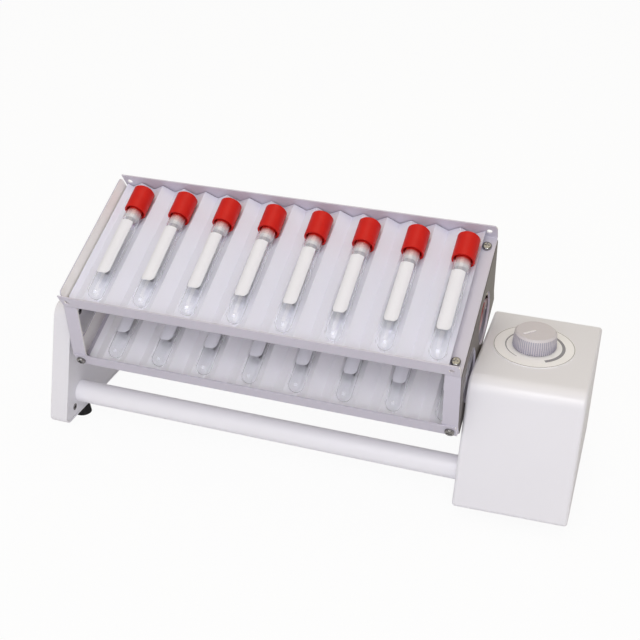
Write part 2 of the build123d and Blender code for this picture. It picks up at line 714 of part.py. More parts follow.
parts["left_bracket_shell"] = bracket_shell()
cover = slab_x(offset(cover_outline, -hole_gap), bracket_cover_x, bracket_inner_x - 0.2)
cover -= rod_x(bracket_outer_x, bracket_inner_x + 1, pivot_y, pivot_z, bush_radius + seat_gap / 2)
cover -= rod_x(bracket_outer_x, bracket_inner_x + 1, rod_y, rod_z, rod_screw_radius + hole_gap)
cover_screw = flat_screw(cover_screw_radius, cover_screw_length)
cover_screws = []
for y, z in cover_screw_spots():
    cover -= rod_x(bracket_cover_x - 1, bracket_inner_x + 1, y, z, cover_screw_radius + hole_gap)
    sink = cover_screw_radius * 1.9 + hole_gap
    sink_depth = cover_screw_radius * 0.9 + hole_gap
    cone = Cone(cover_screw_radius, sink, sink_depth, align=(Align.CENTER, Align.CENTER, Align.MAX))
    cover -= Pos(bracket_inner_x - 0.2, y, z) * Rot(0, 90, 0) * cone
    cover_screws.append(Pos(bracket_inner_x - 0.4, y, z) * Rot(0, 90, 0) * cover_screw)
parts["left_bracket_cover"] = cover
parts["bracket_cover_screws"] = Compound(children=cover_screws)


# ---- tie rod --------------------------------------------------------------------------------------------
rod_left_x = bracket_inner_x - 0.2 + seat_gap
rod_right_x = box_left_x - seat_gap
rod_bore = rod_radius - rod_wall
parts["tie_rod"] = (rod_x(rod_left_x, rod_right_x, rod_y, rod_z, rod_radius)
                    - rod_x(rod_left_x - 1, rod_right_x + 1, rod_y, rod_z, rod_bore))
plug = (rod_x(0, rod_plug_length, rod_y, rod_z, rod_bore - seat_gap / 2)
        - rod_x(-1, rod_plug_length + 1, rod_y, rod_z, rod_screw_radius + seat_gap / 2))
parts["tie_rod_plugs"] = Compound(children=[
    Pos(rod_left_x, 0, 0) * plug, Pos(rod_right_x - rod_plug_length, 0, 0) * plug])
left_screw_seat = bracket_outer_x + bracket_wall + 2.9 - seat_gap
right_screw_seat = box_left_x + box_wall + seat_gap
left_screw = pan_screw(rod_screw_radius, rod_left_x + 12 - left_screw_seat)
right_screw = pan_screw(rod_screw_radius, right_screw_seat - rod_right_x + 12)
parts["tie_rod_screws"] = Compound(children=[
    Pos(left_screw_seat, rod_y, rod_z) * Rot(0, -90, 0) * left_screw,
    Pos(right_screw_seat, rod_y, rod_z) * Rot(0, 90, 0) * right_screw])


# ---- control box ----------------------------------------------------------------------------------------
box_profile = side_profile(box_front_y, box_top_z, box_bottom_round)
box_left_profile = side_profile(box_front_y - box_draft, box_top_z, box_bottom_round)


def hood(inset):
    """The hood's form shrunk by a wall on every side; its front is drafted towards the right."""
    left = Pos(box_left_x + inset, 0, 0) * (Plane.YZ * offset(box_left_profile, -inset))
    right = Pos(box_right_x - inset, 0, 0) * (Plane.YZ * offset(box_profile, -inset))
    return loft([left, right], ruled=True)


base_outline = (box_left_x + box_wall + free_gap, box_right_x - box_wall - free_gap,
                box_front_y + box_wall * 1.6, back_y - box_wall - free_gap)


def base_screw_spots():
    x0, x1, y0, y1 = base_outline
    return [(x, y) for x in (x0 + base_screw_inset, x1 - base_screw_inset)
            for y in (y0 + base_front_inset, y1 - base_screw_inset)]


def box_shell():
    """A smooth moulded hood, open below, with screw bosses, a shaft opening and the panel cut-outs."""
    shell = hood(0)
    sides = shell.edges().group_by(Axis.X)
    shell = fillet(list(sides[0]) + list(sides[-1]), box_edge_round)
    shell -= hood(box_wall)
    x0, x1, y0, y1 = base_outline
    shell -= box_between(x0 - free_gap, x1 + free_gap, y0 - free_gap, y1 + free_gap, foot_height - 1,
                         foot_height + box_wall + 0.5)
    plate_top = foot_height + base_sheet + seat_gap
    for x, y in base_screw_spots():
        shell += rod_z_between(x, y, plate_top, plate_top + base_boss_height, base_boss_radius)
        toward = -1 if x < (x0 + x1) / 2 else 1
        shell += box_between(*sorted((x, x + toward * (base_screw_inset + base_boss_web / 2))),
                             y - base_boss_web / 2, y + base_boss_web / 2, plate_top + 1,
                             plate_top + base_boss_height)
        shell -= rod_z_between(x, y, plate_top - 1, plate_top + base_screw_grip + 2,
                               base_screw_radius + seat_gap / 2)
    shell -= rod_x(box_left_x - 1, box_left_x + box_wall + 1, pivot_y, pivot_z, hub_radius + 1.2)
    shell -= rod_x(box_left_x - 1, box_left_x + box_wall + 1, rod_y, rod_z, rod_screw_radius + hole_gap)
    shell -= rod_z_between(knob_x, knob_y, box_top_z - box_wall - 1, box_top_z + 1,
                           pot_bush_radius + hole_gap)
    shell -= Pos(inlet_x, back_y, inlet_z) * Rot(90, 0, 0) * Cylinder(inlet_radius + hole_gap, 4 * box_wall)
    shell -= box_between(switch_x - switch_width / 2 - hole_gap, switch_x + switch_width / 2 + hole_gap,
                         back_y - box_wall - 1, back_y + 1,
                         switch_z - switch_height / 2 - hole_gap, switch_z + switch_height / 2 + hole_gap)
    return shell


parts["control_box_shell"] = box_shell()


# ---- base plate, feet and their screws ------------------------------------------------------------------
x0, x1, y0, y1 = base_outline
box_feet = [(x, y) for x in (box_left_x + foot_side_inset, box_right_x - foot_side_inset)
            for y in foot_rows()]
base = box_between(x0, x1, y0, y1, foot_height, foot_height + base_sheet)
base_screw = pan_screw(base_screw_radius, base_sheet + base_screw_grip)
base_screws = []
for x, y in base_screw_spots():
    base -= rod_z_between(x, y, foot_height - 1, foot_height + base_sheet + 1, base_screw_radius + hole_gap)
    base_screws.append(Pos(x, y, foot_height - seat_gap) * Rot(180, 0, 0) * base_screw)
for x, y in box_feet:
    base -= rod_z_between(x, y, foot_height - 1, foot_height + base_sheet + 1,
                          foot_stem_radius + seat_gap / 2)
foot = (Cone(foot_base_radius, foot_top_radius, foot_height - seat_gap,
             align=(Align.CENTER, Align.CENTER, Align.MIN))
        + rod_z_between(0, 0, foot_height - 1, foot_height + foot_stem_length - seat_gap, foot_stem_radius))
foot_spots = [(left_foot_x, y) for y in foot_rows()] + box_feet
parts["rubber_feet"] = Compound(children=[Pos(x, y, 0) * foot for x, y in foot_spots])
parts["base_plate_screws"] = Compound(children=base_screws)


# ---- drive bracket, motor and chassis screws ------------------------------------------------------------
base_top = foot_height + base_sheet + seat_gap
drive_top = pivot_z + bush_radius + 4.0
far_plate_right = far_upright_x + drive_plate


def motor_bolts():
    """Gearbox screws round the motor shaft, as (y, z)."""
    for angle in (45, 135, 225, 315):
        yield (pivot_y + motor_screw_circle * cos(radians(angle)),
               pinion_z + motor_screw_circle * sin(radians(angle)))


def drive_feet():
    """Screw spots in the drive bracket's floor, as (x, y)."""
    x = (drive_inner_x + drive_plate + far_upright_x) / 2
    reach = drive_depth / 2 - drive_screw_inset
    return [(x, pivot_y - reach), (x, pivot_y + reach)]


def drive_bracket():
    """A folded U: two uprights for the shaft and the gear motor, and a floor screwed to the base plate."""
    y0, y1 = pivot_y - drive_depth / 2, pivot_y + drive_depth / 2
    body = box_between(drive_inner_x, far_plate_right, y0, y1, base_top, drive_top)
    body -= box_between(drive_inner_x + drive_plate, far_upright_x, y0 - 1, y1 + 1,
                        base_top + drive_plate, drive_top + 1)
    upper_corners = body.edges().filter_by(Axis.X).group_by(Axis.Z)[-1]
    body = chamfer(upper_corners, drive_depth * 0.28)
    body -= rod_x(drive_inner_x - 1, far_plate_right + 1, pivot_y, pivot_z, bush_radius + seat_gap / 2)
    body -= rod_x(far_upright_x - 1, far_plate_right + 1, pivot_y, pinion_z, motor_shaft_radius + 2)
    for y, z in motor_bolts():
        body -= rod_x(far_upright_x - 1, far_plate_right + 1, y, z, chassis_screw_radius + hole_gap)
    for x, y in drive_feet():
        body -= rod_z_between(x, y, base_top - 1, base_top + drive_plate + 1,
                              chassis_screw_radius + hole_gap)
    return body


parts["drive_bracket"] = drive_bracket()
gearbox = rod_x(gearbox_x, gearbox_x + gearbox_length, pivot_y, pinion_z, gearbox_radius)
can = rod_x(gearbox_x + gearbox_length, gearbox_x + gearbox_length + motor_length, pivot_y, pinion_z,
            motor_radius)
can = chamfer(can.edges().group_by(Axis.X)[-1], 1.5)
motor = gearbox + can
motor -= rod_x(gearbox_x - 1, gearbox_x + 6 + seat_gap, pivot_y, pinion_z, motor_shaft_radius + run_gap)
chassis_screw = pan_screw(chassis_screw_radius, chassis_screw_length)
chassis_screws = []
for y, z in motor_bolts():
    motor -= rod_x(gearbox_x - 1, gearbox_x + 5, y, z, chassis_screw_radius + seat_gap / 2)
    chassis_screws.append(Pos(far_upright_x - seat_gap, y, z) * Rot(0, -90, 0) * chassis_screw)
parts["gear_motor"] = motor
for x, y in drive_feet():
    base -= rod_z_between(x, y, foot_height - 1, foot_height + base_sheet + 1,
                          chassis_screw_radius + seat_gap / 2)
    chassis_screws.append(Pos(x, y, base_top + drive_plate + seat_gap) * chassis_screw)


# ---- circuit board --------------------------------------------------------------------------------------
board_x1 = box_right_x - box_wall - board_side_gap
board_x0 = board_x1 - board_length
board_y0 = pivot_y - board_depth / 2
board_z = base_top + board_lift
board_holes = [(x, y) for x in (board_x0 + board_hole_inset, board_x1 - board_hole_inset)
               for y in (board_y0 + board_hole_inset, board_y0 + board_depth - board_hole_inset)]
board = box_between(board_x0, board_x1, board_y0, board_y0 + board_depth, board_z, board_z + board_sheet)
board_top = board_z + board_sheet
# its larger components, as shares of the board's length and depth, and their heights
components = {"controller": (0.17, 0.19, 0.25, 0.14, 3.5), "regulator": (0.22, 0.53, 0.19, 0.11, 2.5),
              "motor_terminal": (0.61, 0.31, 0.17, 0.22, 5.5), "capacitor": (0.58, 0.66, 0.22, 0.12, 6.0),
              "control_terminal": (0.19, 0.78, 0.28, 0.08, 4.5)}
for from_left, from_front, wide, deep, height in components.values():
    left = board_x0 + from_left * board_length
    front = board_y0 + from_front * board_depth
    board += box_between(left, left + wide * board_length, front, front + deep * board_depth,
                         board_top - 0.1, board_top + height)
standoffs = []
for x, y in board_holes:
    board -= rod_z_between(x, y, board_z - 1, board_top + 1, chassis_screw_radius + hole_gap)
    post = rod_z_between(x, y, base_top, board_z - seat_gap, standoff_radius)
    post -= rod_z_between(x, y, base_top + 0.8, board_z + 1, chassis_screw_radius + seat_gap / 2)
    standoffs.append(post)
    chassis_screws.append(Pos(x, y, board_top + seat_gap) * chassis_screw)
parts["circuit_board"] = board
parts["board_standoffs"] = Compound(children=standoffs)
parts["chassis_screws"] = Compound(children=chassis_screws)
parts["base_plate"] = base


# ---- speed control --------------------------------------------------------------------------------------
dial_top = box_top_z + seat_gap + dial_sheet
parts["dial_plate"] = (rod_z_between(knob_x, knob_y, box_top_z + seat_gap, dial_top, dial_radius)
                       - rod_z_between(knob_x, knob_y, box_top_z, dial_top + 1, pot_bush_radius + hole_gap))
pot_top = box_top_z - box_wall - seat_gap
pot_bush_top = dial_top + seat_gap + pot_nut_height + 0.4
pot = rod_z_between(knob_x, knob_y, pot_top - pot_body_length, pot_top, pot_body_radius)
pot += rod_z_between(knob_x, knob_y, pot_top - 1, pot_bush_top, pot_bush_radius)
pot -= rod_z_between(knob_x, knob_y, pot_top - 4, pot_bush_top + 1, pot_shaft_radius + run_gap)
parts["speed_potentiometer"] = pot
parts["potentiometer_nut"] = Pos(knob_x, knob_y, dial_top + seat_gap) * hex_nut(
    pot_nut_flats, pot_bush_radius + seat_gap / 2, pot_nut_height)
knob_bottom = dial_top + knob_gap
knob_top = knob_bottom + knob_height
shaft_top = knob_top - 3.0
parts["potentiometer_shaft"] = (
    rod_z_between(knob_x, knob_y, pot_top - 4 + free_gap, shaft_top, pot_shaft_radius))


def speed_knob():
    """A ribbed, slightly tapered knob with a hollow underside and a raised pointer."""
    knob = Cone(knob_radius, knob_top_radius, knob_height, align=(Align.CENTER, Align.CENTER, Align.MIN))
    knob = chamfer(knob.edges().group_by(Axis.Z)[-1], knob_chamfer)
    for i in range(knob_rib_count):
        angle = 2 * pi * i / knob_rib_count
        reach = (knob_radius + knob_top_radius) / 2 + knob_rib_radius * 0.35
        groove = rod_z_between(reach * cos(angle), reach * sin(angle), -1, knob_height - knob_chamfer - 0.6,
                               knob_rib_radius)
        knob -= groove
    pocket = Cylinder(pot_nut_flats / 2 + 2.2, 4.0, align=(Align.CENTER, Align.CENTER, Align.MIN))
    knob -= Pos(0, 0, -0.5) * pocket
    knob -= rod_z_between(0, 0, -1, knob_height - 3.0 + seat_gap, pot_shaft_radius + seat_gap / 2)
    pointer = extrude(SlotOverall(knob_pointer_length, knob_pointer_width), knob_pointer_rise + 0.5)
    pointer = Pos(knob_pointer_length / 2, 0, knob_height - 0.5) * pointer
    return knob + Rot(0, 0, knob_pointer_angle) * pointer


parts["speed_knob"] = Pos(knob_x, knob_y, knob_bottom) * speed_knob()


# ---- rear fittings --------------------------------------------------------------------------------------
inlet_face = back_y + seat_gap
inlet = Pos(inlet_x, inlet_face - inlet_depth / 2, inlet_z) * Rot(90, 0, 0) * Cylinder(
    inlet_radius, inlet_depth)
inlet += Pos(inlet_x, inlet_face + 1.0, inlet_z) * Rot(90, 0, 0) * Cylinder(inlet_flange_radius, 2.0)
inlet -= Pos(inlet_x, inlet_face - 3.5, inlet_z) * Rot(90, 0, 0) * Cylinder(3.2, 11.2)
inlet += Pos(inlet_x, inlet_face - 4.8, inlet_z) * Rot(90, 0, 0) * Cylinder(1.0, 9.0)
parts["power_inlet"] = inlet

rocker_axis_y = back_y + seat_gap + switch_frame - 2.6
rocker_width = switch_width - 5.0
rocker_length = switch_height - 3.6


def switch_housing():
    """The rocker switch's snap-in body with its rim and a pocket for the rocker."""
    half_w, half_h = switch_width / 2, switch_height / 2
    body = box_between(switch_x - half_w, switch_x + half_w, back_y - switch_depth, back_y + seat_gap,
                       switch_z - half_h, switch_z + half_h)
    rim = box_between(switch_x - half_w - 1.5, switch_x + half_w + 1.5, back_y + seat_gap,
                      back_y + seat_gap + switch_frame, switch_z - half_h - 1.3, switch_z + half_h + 1.3)
    rim = chamfer(rim.edges().group_by(Axis.Y)[-1], 0.6)
    pocket = box_between(switch_x - rocker_width / 2 - free_gap, switch_x + rocker_width / 2 + free_gap,
                         back_y - 6.5, back_y + switch_frame + 1,
                         switch_z - rocker_length / 2 - 0.7, switch_z + rocker_length / 2 + 0.7)
    reach = rocker_width / 2 + trunnion_length + free_gap
    sockets = rod_x(switch_x - reach, switch_x + reach, rocker_axis_y, switch_z, trunnion_radius + run_gap)
    return body + rim - pocket - sockets


def switch_rocker():
    """The see-saw key, a shallow V seen from the side, on two short trunnions."""
    half = rocker_length / 2
    lift = half * tan(radians(rocker_tilt))
    face = Polyline((0, -half), (2.6 + lift * 2, -half), (2.6, 0), (2.6 + lift * 2, half), (0, half),
                    (-1.6, half * 0.5), (-1.6, -half * 0.5), close=True)
    key = Pos(-rocker_width / 2, 0, 0) * extrude(Plane.YZ * make_face(face), rocker_width)
    reach = rocker_width / 2 + trunnion_length
    key += rod_x(-reach, reach, 0, 0, trunnion_radius)
    return Pos(switch_x, rocker_axis_y, switch_z) * Rot(rocker_tilt, 0, 0) * key


parts["power_switch"] = switch_housing()
parts["switch_rocker"] = switch_rocker()


# ---- move to the bottom centre of the whole machine and write --------------------------------------------
whole = Compound(children=[Pos(0, 0, 0) * part for part in parts.values()]).bounding_box()
shift = Pos(-(whole.min.X + whole.max.X) / 2, -(whole.min.Y + whole.max.Y) / 2, -whole.min.Z)

if __name__ == "__main__":
    os.makedirs("parts", exist_ok=True)
    for name, part in parts.items():
        export_step(shift * part, f"parts/{name}.step")
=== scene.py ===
"""Tube rotator: the finishes, printed marks, stage and camera that go on its packed construction model."""
from math import asin, atan2, cos, hypot, radians, sin, tau

import bpy
from mathutils import Matrix, Vector


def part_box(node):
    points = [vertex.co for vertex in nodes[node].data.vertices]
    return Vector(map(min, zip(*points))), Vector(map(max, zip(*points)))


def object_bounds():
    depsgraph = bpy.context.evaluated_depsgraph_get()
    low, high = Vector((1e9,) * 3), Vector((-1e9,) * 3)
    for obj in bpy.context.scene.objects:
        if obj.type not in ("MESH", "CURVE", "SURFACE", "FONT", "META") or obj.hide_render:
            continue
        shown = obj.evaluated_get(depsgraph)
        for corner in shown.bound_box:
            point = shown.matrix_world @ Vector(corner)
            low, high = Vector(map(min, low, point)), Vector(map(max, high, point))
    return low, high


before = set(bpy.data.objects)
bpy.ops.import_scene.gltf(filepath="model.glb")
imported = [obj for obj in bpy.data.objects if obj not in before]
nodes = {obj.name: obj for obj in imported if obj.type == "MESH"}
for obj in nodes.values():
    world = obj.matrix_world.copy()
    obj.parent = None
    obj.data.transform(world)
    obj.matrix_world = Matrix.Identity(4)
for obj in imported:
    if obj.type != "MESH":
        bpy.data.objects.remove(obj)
cad_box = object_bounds()


# ---- camera ---------------------------------------------------------------------------------------------
# A long lens in front of the machine, a little above and to the right of its middle.  It is placed from the
# drive box's lower left front corner, so it keeps its view of the machine.
camera_offset = Vector((0.09812, -0.58788, 0.49184))
heading, dip, roll = radians(-18.61), radians(29.87), radians(0.21)
ahead = Vector((sin(heading) * cos(dip), cos(heading) * cos(dip), -sin(dip)))
level_right = Vector((cos(heading), -sin(heading), 0.0))
level_up = level_right.cross(ahead)
right = level_right * cos(roll) + level_up * sin(roll)
up = level_up * cos(roll) - level_right * sin(roll)
bpy.ops.object.select_all(action="DESELECT")
bpy.ops.object.camera_add()
camera = bpy.context.object
camera.name = "view_camera"
turn = Matrix((right, up, -ahead)).transposed().to_4x4()
camera.matrix_world = Matrix.Translation(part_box("control_box_shell")[0] + camera_offset) @ turn
camera.data.sensor_width = 36.0
camera.data.lens = 58.66
camera.data.shift_x = -0.0017
camera.data.shift_y = 0.003
camera.data.clip_start = 0.01
bpy.context.scene.camera = camera


# ---- studio ---------------------------------------------------------------------------------------------
# A plain white table and surroundings, cool from the level and warm from overhead, with a wide lamp in front
# and a weaker one above.
bpy.context.scene.view_settings.view_transform = "Standard"


class Sock:
    """A shader socket that takes part in Python arithmetic, adding its Math nodes as it goes."""

    def __init__(self, tree, socket):
        self.tree, self.socket = tree, socket

    def _math(self, operation, first, second=None):
        node = self.tree.nodes.new("ShaderNodeMath")
        node.operation = operation
        for place, value in enumerate(v for v in (first, second) if v is not None):
            if isinstance(value, Sock):
                self.tree.links.new(value.socket, node.inputs[place])
            else:
                node.inputs[place].default_value = value
        return Sock(self.tree, node.outputs[0])

    def __add__(self, other):
        return self._math("ADD", self, other)

    __radd__ = __add__

    def __sub__(self, other):
        return self._math("SUBTRACT", self, other)

    def __rsub__(self, other):
        return self._math("SUBTRACT", other, self)

    def __mul__(self, other):
        return self._math("MULTIPLY", self, other)

    __rmul__ = __mul__

    def __truediv__(self, other):
        return self._math("DIVIDE", self, other)

    def above(self, other):
        return self._math("GREATER_THAN", self, other)

    def below(self, other):
        return self._math("LESS_THAN", self, other)

    def most(self, other):
        return self._math("MAXIMUM", self, other)

    def least(self, other):
        return self._math("MINIMUM", self, other)

    def power(self, other):
        return self._math("POWER", self, other)

    def root(self):
        return self._math("SQRT", self)

    def size(self):
        return self._math("ABSOLUTE", self)

    def cosine(self):
        return self._math("COSINE", self)

    def angle_from(self, other):
        """The angle of the point (other, self), as atan2 gives it."""
        return self._math("ARCTAN2", self, other)

    def rest(self, step):
        """What is left over whole steps, never negative."""
        return self._math("FLOORED_MODULO", self, step)


class Finish:
    """A material under construction: its node tree, its Principled shader and short ways to add nodes."""

    def __init__(self, name, **sockets):
        self.material = bpy.data.materials.new(name)
        self.material.use_nodes = True
        self.tree = self.material.node_tree
        self.shader = self.tree.nodes["Principled BSDF"]
        self.output = self.tree.nodes["Material Output"]
        for label, value in sockets.items():
            self.put(label.replace("_", " "), value)

    def put(self, label, value):
        """Sets or links one socket of the Principled shader."""
        if isinstance(value, Sock):
            self.tree.links.new(value.socket, self.shader.inputs[label])
        else:
            self.shader.inputs[label].default_value = value

    def node(self, kind, settings=None, sockets=None, out=0):
        """One node: its settings first, then the values or links of its sockets."""
        node = self.tree.nodes.new(kind)
        for key, value in (settings or {}).items():
            setattr(node, key, value)
        for key, value in (sockets or {}).items():
            if isinstance(value, Sock):
                self.tree.links.new(value.socket, node.inputs[key])
            else:
                node.inputs[key].default_value = value
        return Sock(self.tree, node.outputs[out])

    def place(self, scale=(1.0, 1.0, 1.0)):
        """Object coordinates, stretched, as one vector."""
        coords = self.node("ShaderNodeTexCoord", out=3)
        return self.node("ShaderNodeMapping", {"vector_type": "POINT"}, {"Vector": coords, "Scale": scale})

    def facing(self):
        """The object's normal, as one vector."""
        return self.node("ShaderNodeTexCoord", out=1)

    def axes(self, vector):
        """The three numbers of a vector."""
        split = self.tree.nodes.new("ShaderNodeSeparateXYZ")
        self.tree.links.new(vector.socket, split.inputs[0])
        return [Sock(self.tree, o) for o in split.outputs]

    def noise(self, vector, scale, detail=2.0, rough=0.5):
        return self.node("ShaderNodeTexNoise", None,
                         {"Vector": vector, "Scale": scale, "Detail": detail, "Roughness": rough})

    def blend(self, factor, first, second):
        """A colour between two colours."""
        node = self.tree.nodes.new("ShaderNodeMix")
        node.data_type = "RGBA"
        for key, value in ((0, factor), (6, first), (7, second)):
            if isinstance(value, Sock):
                self.tree.links.new(value.socket, node.inputs[key])
            else:
                node.inputs[key].default_value = value
        return Sock(self.tree, node.outputs[2])

    def bump(self, height, strength, distance):
        """Feeds the Normal socket from a height."""
        self.put("Normal", self.node("ShaderNodeBump", None,
                                     {"Height": height, "Strength": strength, "Distance": distance}))


def rgb(red, green, blue):
    """A colour given as display values from 0 to 255, as the linear values that sockets take."""
    linear = [((c / 255 + 0.055) / 1.055) ** 2.4 if c > 10 else c / 3294 for c in (red, green, blue)]
    return (*linear, 1.0)


def seen_rays(tree):
    """One where the camera looks, directly or through glass, and nought for every other ray."""
    rays = tree.nodes.new("ShaderNodeLightPath")
    return Sock(tree, rays.outputs["Is Camera Ray"]).most(Sock(tree, rays.outputs["Is Transmission Ray"]))


white_at_full = (1.0, 1.0, 1.0, 1.0)
room_light, lost_in_mirrors = 0.6, 0.25
world = bpy.data.worlds.new("white_room")
bpy.context.scene.world = world
world.use_nodes = True
air = world.node_tree
air.nodes.clear()
air_out = air.nodes.new("ShaderNodeOutputWorld")
room = air.nodes.new("ShaderNodeBackground")
looking = air.nodes.new("ShaderNodeTexCoord")
heights = air.nodes.new("ShaderNodeSeparateXYZ")
air.links.new(looking.outputs["Generated"], heights.inputs[0])
overhead = (Sock(air, heights.outputs["Z"]) + 0.1).most(0.0).least(1.0)
sky = air.nodes.new("ShaderNodeMix")
sky.data_type = "RGBA"
sky.inputs[6].default_value = rgb(242, 244, 255)
sky.inputs[7].default_value = rgb(250, 241, 217)
air.links.new(overhead.socket, sky.inputs[0])
air.links.new(sky.outputs[2], room.inputs["Color"])
backdrop = air.nodes.new("ShaderNodeBackground")
backdrop.inputs["Color"].default_value = white_at_full
backdrop.inputs["Strength"].default_value = 1.0
mirrored = Sock(air, air.nodes.new("ShaderNodeLightPath").outputs["Is Glossy Ray"])
air.links.new((room_light - mirrored * lost_in_mirrors).socket, room.inputs["Strength"])
choose = air.nodes.new("ShaderNodeMixShader")
air.links.new(seen_rays(air).socket, choose.inputs[0])
air.links.new(room.outputs[0], choose.inputs[1])
air.links.new(backdrop.outputs[0], choose.inputs[2])
air.links.new(choose.outputs[0], air_out.inputs[0])

middle = (cad_box[0] + cad_box[1]) / 2
lamps = {
    "front_softbox": ((0.15, -1.35, 0.95), 1.3, 12.0, (243, 245, 255)),
    "top_softbox": ((0.1, 0.1, 1.5), 1.0, 3.6, (255, 246, 224)),
}
for lamp_name, (place, width, power, tint) in lamps.items():
    bpy.ops.object.select_all(action="DESELECT")
    bpy.ops.object.light_add(type="AREA", location=middle + Vector(place))
    lamp = bpy.context.object
    lamp.name = lamp_name
    lamp.data.shape = "SQUARE"
    lamp.data.size = width
    lamp.data.energy = power
    lamp.data.color = rgb(*tint)[:3]
    lamp.rotation_euler = (-Vector(place)).to_track_quat("-Z", "Y").to_euler()

# A small bare lamp that only glass and metal show, as the glints on them.
spark_place = Vector((0.25, -1.1, 1.35))
bpy.ops.object.select_all(action="DESELECT")
bpy.ops.object.light_add(type="AREA", location=middle + spark_place)
spark = bpy.context.object
spark.name = "glint_lamp"
spark.data.size = 0.12
spark.data.energy = 8.0
spark.rotation_euler = (-spark_place).to_track_quat("-Z", "Y").to_euler()
spark.visible_diffuse = False

# The table top: a thin round sheet, white where the camera sees it.
table_radius, rim_width, shade_kept = 2.4, 0.05, 0.94
bpy.ops.object.select_all(action="DESELECT")
bpy.ops.mesh.primitive_circle_add(vertices=96, radius=table_radius, fill_type="NGON", location=(0, 0, 0))
table = bpy.context.object
table.name = "table_top"
bpy.ops.object.mode_set(mode="EDIT")
bpy.ops.mesh.select_all(action="SELECT")
bpy.ops.mesh.inset(thickness=rim_width)
bpy.ops.object.mode_set(mode="OBJECT")
top = Finish("table_white", Base_Color=rgb(232, 232, 234), Roughness=0.9)
glow = top.tree.nodes.new("ShaderNodeEmission")
glow.inputs["Color"].default_value = white_at_full
glow.inputs["Strength"].default_value = 1.0
mix = top.tree.nodes.new("ShaderNodeMixShader")
top.tree.links.new((seen_rays(top.tree) * shade_kept).socket, mix.inputs[0])
top.tree.links.new(top.shader.outputs[0], mix.inputs[1])
top.tree.links.new(glow.outputs[0], mix.inputs[2])
top.tree.links.new(mix.outputs[0], top.output.inputs[0])
table.data.materials.append(top.material)


# ---- sheet-metal trays and end plates -------------------------------------------------------------------
# Folded aluminium sheet with a pale grey satin coat.  The coat has a faint orange-peel grain, and its tone and
# gloss drift a little in broad, soft patches.
def paint(finish, *node_names):
    """Gives a finish to CAD nodes, in their object's own slots."""
    for node_name in node_names:
        o = nodes[node_name]
        if not o.data.materials:
            o.data.materials.append(None)
        for place in range(len(o.data.materials)):
            o.material_slots[place].link = "OBJECT"
            o.material_slots[place].material = finish.material


def coated_sheet(name, tone, dark, grain=2600.0, rough=0.42):
    """A sprayed coat: soft patches of tone, and orange peel in the normal."""
    f = Finish(name, Metallic=0.0, Coat_Roughness=0.3)
    at = f.place()
    patch = f.noise(at, scale=9.0, detail=3.0, rough=0.55)
    gloss_drift = 0.14
    f.put("Base Color", f.blend(patch, tone, dark))
    f.put("Roughness", patch * gloss_drift + (rough - gloss_drift / 2))
    f.put("Coat Weight", 0.12)
    f.bump(f.noise(at, scale=grain, detail=1.0), strength=0.08, distance=0.0002)
    return f


# The faces that look along +X take painted light and shade: inside the left walls the coat is painted creamier,
# as painted light, and the outside of the right end plate, towards the drive box, is painted shade, a dark warm
# grey.
grey_tone, grey_dark = rgb(206, 202, 215), rgb(200, 196, 209)
painted_light_inside, painted_shade_outside = rgb(250, 247, 245), rgb(96, 89, 86)
squarely = 0.7
for name, painted_side_tone in (("upper_tray", painted_light_inside), ("lower_tray", painted_light_inside),
                          ("left_end_plate", painted_light_inside), ("right_end_plate", painted_shade_outside)):
    sheet = coated_sheet(f"{name}_coat", grey_tone, grey_dark)
    along_x = sheet.axes(sheet.facing())[0].above(squarely)
    sprayed = Sock(sheet.tree, sheet.shader.inputs["Base Color"].links[0].from_socket)
    # Faces along +X take the painted light or painted shade tone in place of the sprayed coat.
    sheet.put("Base Color", sheet.blend(along_x, sprayed, painted_side_tone))
    paint(sheet, name)


# ---- grooved inserts ------------------------------------------------------------------------------------
# Thin white plastic sheet, folded to a zigzag.  It is slightly see-through, so light gathers in its folds.  The
# lower one, in the shade of the upper tray, is painted whiter, as painted light against that shade.
for row, tone, dark in (("upper", rgb(229, 230, 243), rgb(224, 224, 238)),
                        ("lower", rgb(250, 249, 254), rgb(244, 243, 249))):
    sheet = Finish(f"{row}_insert_white", Roughness=0.45, IOR=1.46)
    at = sheet.place()
    sheet.put("Base Color", sheet.blend(sheet.noise(at, scale=14.0, detail=3.0), tone, dark))
    sheet.put("Subsurface Weight", 0.15)
    sheet.put("Subsurface Radius", (0.004, 0.0035, 0.004))
    sheet.bump(sheet.noise(at, scale=700.0), strength=0.06, distance=0.0002)
    paint(sheet, f"{row}_insert")


# ---- sample tubes ---------------------------------------------------------------------------------------
# Drawn glass, thin and clear, that bends light hardly at all and casts next to no shadow.  Each tube has a
# gummed paper label and a moulded red stopper.
glass = Finish("tube_glass", Base_Color=(0.96, 0.965, 0.97, 1.0), Roughness=0.02, IOR=1.06,
               Transmission_Weight=1.0, Coat_Weight=1.0, Coat_Roughness=0.02)
let_through = 0.95
clear = glass.tree.nodes.new("ShaderNodeBsdfTransparent")
glass_rays = glass.tree.nodes.new("ShaderNodeLightPath")
passing = Sock(glass.tree, glass_rays.outputs["Is Shadow Ray"]).most(
    Sock(glass.tree, glass_rays.outputs["Is Diffuse Ray"]))
glass_mix = glass.tree.nodes.new("ShaderNodeMixShader")
glass.tree.links.new((passing * let_through).socket, glass_mix.inputs[0])
glass.tree.links.new(glass.shader.outputs[0], glass_mix.inputs[1])
glass.tree.links.new(clear.outputs[0], glass_mix.inputs[2])
glass.tree.links.new(glass_mix.outputs[0], glass.output.inputs[0])
paint(glass, *(name for name in nodes if "_tube_" in name))

tube_radius, tube_length = 0.0065, 0.1
first_low, first_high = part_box("upper_tube_1")
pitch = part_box("upper_tube_2")[0].x - first_low.x
straight, rise_of_first = tube_length - tube_radius, first_high.z - first_low.z - tube_radius
tube_tilt = asin(rise_of_first / hypot(straight, tube_radius)) - atan2(tube_radius, straight)


